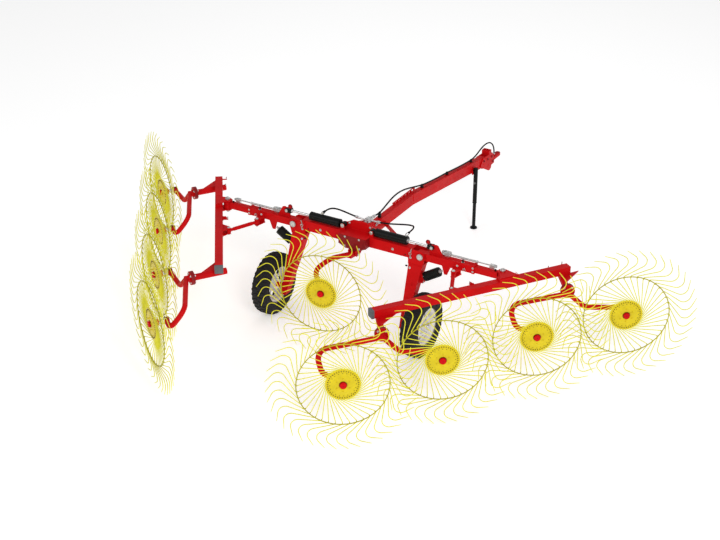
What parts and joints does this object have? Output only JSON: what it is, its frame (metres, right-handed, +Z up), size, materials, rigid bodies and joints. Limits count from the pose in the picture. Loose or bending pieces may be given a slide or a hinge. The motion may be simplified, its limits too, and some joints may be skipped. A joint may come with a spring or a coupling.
{
  "type": "rotary hay rake",
  "caption": "Carted V-shaped wheel rake: two angled gangs of tined wheels on hydraulically lifted, extending booms, a kicker wheel behind the centre and a long drawbar on a jack.",
  "frame": {"origin": "middle of the overall box, on the ground", "axes": "+X forward to the hitch, +Y to the machine's left, +Z up"},
  "size_m": [5.8743, 6.7262, 1.4043],
  "materials": {
    "black_paint": "satin",
    "cap_plastic": "matte",
    "frame_red": "gloss",
    "hose_rubber": "satin",
    "rim_paint": "satin",
    "rod_chrome": "polished",
    "tyre_rubber": "matte",
    "wheel_yellow": "gloss",
    "zinc": "satin"
  },
  "bodies": {
    "chassis": {"crossbeam": "frame_red", "centre_plates": "frame_red", "kicker_bracket": "frame_red", "drawbar": "frame_red", "hitch_clevis": "frame_red", "jack_sleeve": "black_paint", "hydraulic_block": "zinc", "hose_clips": "zinc", "hose_left": "hose_rubber", "hose_right": "hose_rubber", "hose_drawbar": "hose_rubber", "leg_left": "frame_red", "boom_pin_left": "zinc", "buffer_left": "black_paint", "leg_right": "frame_red", "boom_pin_right": "zinc", "buffer_right": "black_paint"},
    "wheel_left": {"tyre_left": "tyre_rubber", "rim_left": "rim_paint"},
    "boom_left": {"boom_outer_left": "frame_red", "screw_tube_left": "zinc"},
    "boom_ext_left": {"boom_inner_left": "frame_red", "screw_rod_left": "zinc"},
    "brace_left": {"brace_left": "frame_red"},
    "gang_left": {"gang_beam_left": "frame_red", "gang_cap_left": "cap_plastic", "tandem_rear_left": "frame_red", "tandem_front_left": "frame_red"},
    "cylinder_barrel_left": {"cylinder_barrel_left": "black_paint"},
    "cylinder_rod_left": {"cylinder_rod_left": "rod_chrome"},
    "rake_left_1": {"rake_wheel_left_1": "wheel_yellow"},
    "rake_left_2": {"rake_wheel_left_2": "wheel_yellow"},
    "rake_left_3": {"rake_wheel_left_3": "wheel_yellow"},
    "rake_left_4": {"rake_wheel_left_4": "wheel_yellow"},
    "wheel_right": {"tyre_right": "tyre_rubber", "rim_right": "rim_paint"},
    "boom_right": {"boom_outer_right": "frame_red", "screw_tube_right": "zinc"},
    "boom_ext_right": {"boom_inner_right": "frame_red", "screw_rod_right": "zinc"},
    "brace_right": {"brace_right": "frame_red"},
    "gang_right": {"gang_beam_right": "frame_red", "gang_cap_right": "cap_plastic", "tandem_rear_right": "frame_red", "tandem_front_right": "frame_red"},
    "cylinder_barrel_right": {"cylinder_barrel_right": "black_paint"},
    "cylinder_rod_right": {"cylinder_rod_right": "rod_chrome"},
    "rake_right_1": {"rake_wheel_right_1": "wheel_yellow"},
    "rake_right_2": {"rake_wheel_right_2": "wheel_yellow"},
    "rake_right_3": {"rake_wheel_right_3": "wheel_yellow"},
    "rake_right_4": {"rake_wheel_right_4": "wheel_yellow"},
    "kicker_arm": {"kicker_arm": "frame_red"},
    "kicker_wheel": {"kicker_wheel": "wheel_yellow"},
    "jack_leg": {"jack_leg": "black_paint"}
  },
  "joints": [
    {"name": "wheel_spin_left", "type": "hinge", "parent": "chassis", "child": "wheel_left", "pos_m": [-0.69879, 0.883, 0.336], "axis": [0, 1, 0], "continuous": true},
    {"name": "boom_lift_left", "type": "hinge", "parent": "chassis", "child": "boom_left", "pos_m": [-0.43979, 0.75, 0.986], "axis": [1, 0, 0], "range_deg": [0, 85]},
    {"name": "boom_telescope_left", "type": "slide", "parent": "boom_left", "child": "boom_ext_left", "axis": [0, 1, 0], "range_m": [-0.12, 0.12]},
    {"name": "gang_swivel_left", "type": "hinge", "parent": "boom_ext_left", "child": "gang_left", "pos_m": [-0.43979, 1.625, 0.98], "axis": [0, 0, 1], "range_deg": [-5.8, 5.8]},
    {"name": "brace_swing_left", "type": "hinge", "parent": "boom_left", "child": "brace_left", "pos_m": [-0.57779, 1.16, 0.935], "axis": [0, 0, 1], "range_deg": [-14.1, 14.1]},
    {"name": "barrel_swing_left", "type": "hinge", "parent": "chassis", "child": "cylinder_barrel_left", "pos_m": [-0.43979, 0.169, 1.096], "axis": [1, 0, 0], "range_deg": [0, 0.51]},
    {"name": "rod_slide_left", "type": "slide", "parent": "cylinder_barrel_left", "child": "cylinder_rod_left", "axis": [0, 1, 0], "range_m": [-0.206, 0]},
    {"name": "rake_spin_left_1", "type": "hinge", "parent": "gang_left", "child": "rake_left_1", "pos_m": [-2.53479, 1.066, 0.706], "axis": [-0.8202, 0.5721, 0], "continuous": true},
    {"name": "rake_spin_left_2", "type": "hinge", "parent": "gang_left", "child": "rake_left_2", "pos_m": [-1.72091, 1.64013, 0.706], "axis": [-0.8202, 0.5721, 0], "continuous": true},
    {"name": "rake_spin_left_3", "type": "hinge", "parent": "gang_left", "child": "rake_left_3", "pos_m": [-0.90704, 2.21425, 0.706], "axis": [-0.8202, 0.5721, 0], "continuous": true},
    {"name": "rake_spin_left_4", "type": "hinge", "parent": "gang_left", "child": "rake_left_4", "pos_m": [-0.09316, 2.78838, 0.706], "axis": [-0.8202, 0.5721, 0], "continuous": true},
    {"name": "wheel_spin_right", "type": "hinge", "parent": "chassis", "child": "wheel_right", "pos_m": [-0.69879, -0.883, 0.336], "axis": [0, 1, 0], "continuous": true},
    {"name": "boom_lift_right", "type": "hinge", "parent": "chassis", "child": "boom_right", "pos_m": [-0.43979, -0.75, 0.986], "axis": [-1, 0, 0], "range_deg": [0, 85]},
    {"name": "boom_telescope_right", "type": "slide", "parent": "boom_right", "child": "boom_ext_right", "axis": [0, -1, 0], "range_m": [-0.12, 0.12]},
    {"name": "gang_swivel_right", "type": "hinge", "parent": "boom_ext_right", "child": "gang_right", "pos_m": [-0.43979, -1.625, 0.98], "axis": [0, 0, -1], "range_deg": [-5.8, 5.8]},
    {"name": "brace_swing_right", "type": "hinge", "parent": "boom_right", "child": "brace_right", "pos_m": [-0.57779, -1.16, 0.935], "axis": [0, 0, -1], "range_deg": [-14.1, 14.1]},
    {"name": "barrel_swing_right", "type": "hinge", "parent": "chassis", "child": "cylinder_barrel_right", "pos_m": [-0.43979, -0.169, 1.096], "axis": [-1, 0, 0], "range_deg": [0, 0.51]},
    {"name": "rod_slide_right", "type": "slide", "parent": "cylinder_barrel_right", "child": "cylinder_rod_right", "axis": [0, -1, 0], "range_m": [-0.206, 0]},
    {"name": "rake_spin_right_1", "type": "hinge", "parent": "gang_right", "child": "rake_right_1", "pos_m": [-2.53479, -1.066, 0.706], "axis": [-0.8202, -0.5721, 0], "continuous": true},
    {"name": "rake_spin_right_2", "type": "hinge", "parent": "gang_right", "child": "rake_right_2", "pos_m": [-1.72091, -1.64013, 0.706], "axis": [-0.8202, -0.5721, 0], "continuous": true},
    {"name": "rake_spin_right_3", "type": "hinge", "parent": "gang_right", "child": "rake_right_3", "pos_m": [-0.90704, -2.21425, 0.706], "axis": [-0.8202, -0.5721, 0], "continuous": true},
    {"name": "rake_spin_right_4", "type": "hinge", "parent": "gang_right", "child": "rake_right_4", "pos_m": [-0.09316, -2.78838, 0.706], "axis": [-0.8202, -0.5721, 0], "continuous": true},
    {"name": "kicker_lift", "type": "hinge", "parent": "chassis", "child": "kicker_arm", "pos_m": [-0.53479, 0, 0.85], "axis": [0, 1, 0], "range_deg": [0, 20]},
    {"name": "kicker_spin", "type": "hinge", "parent": "kicker_arm", "child": "kicker_wheel", "pos_m": [-1.21079, -0.02, 0.706], "axis": [-0.9799, -0.1994, 0], "continuous": true},
    {"name": "jack_slide", "type": "slide", "parent": "chassis", "child": "jack_leg", "axis": [0, 0, 1], "range_m": [0, 0.28]}
  ],
  "couplings": [
    {"joint": "gang_swivel_left", "follows": "boom_telescope_left", "rad_per_m": 0.826},
    {"joint": "brace_swing_left", "follows": "boom_telescope_left", "rad_per_m": -2.017},
    {"joint": "barrel_swing_left", "follows": "boom_lift_left", "ratio": 0.0059},
    {"joint": "rod_slide_left", "follows": "boom_lift_left", "m_per_rad": -0.1384},
    {"joint": "gang_swivel_right", "follows": "boom_telescope_right", "rad_per_m": 0.826},
    {"joint": "brace_swing_right", "follows": "boom_telescope_right", "rad_per_m": -2.017},
    {"joint": "barrel_swing_right", "follows": "boom_lift_right", "ratio": 0.0059},
    {"joint": "rod_slide_right", "follows": "boom_lift_right", "m_per_rad": -0.1384}
  ]
}
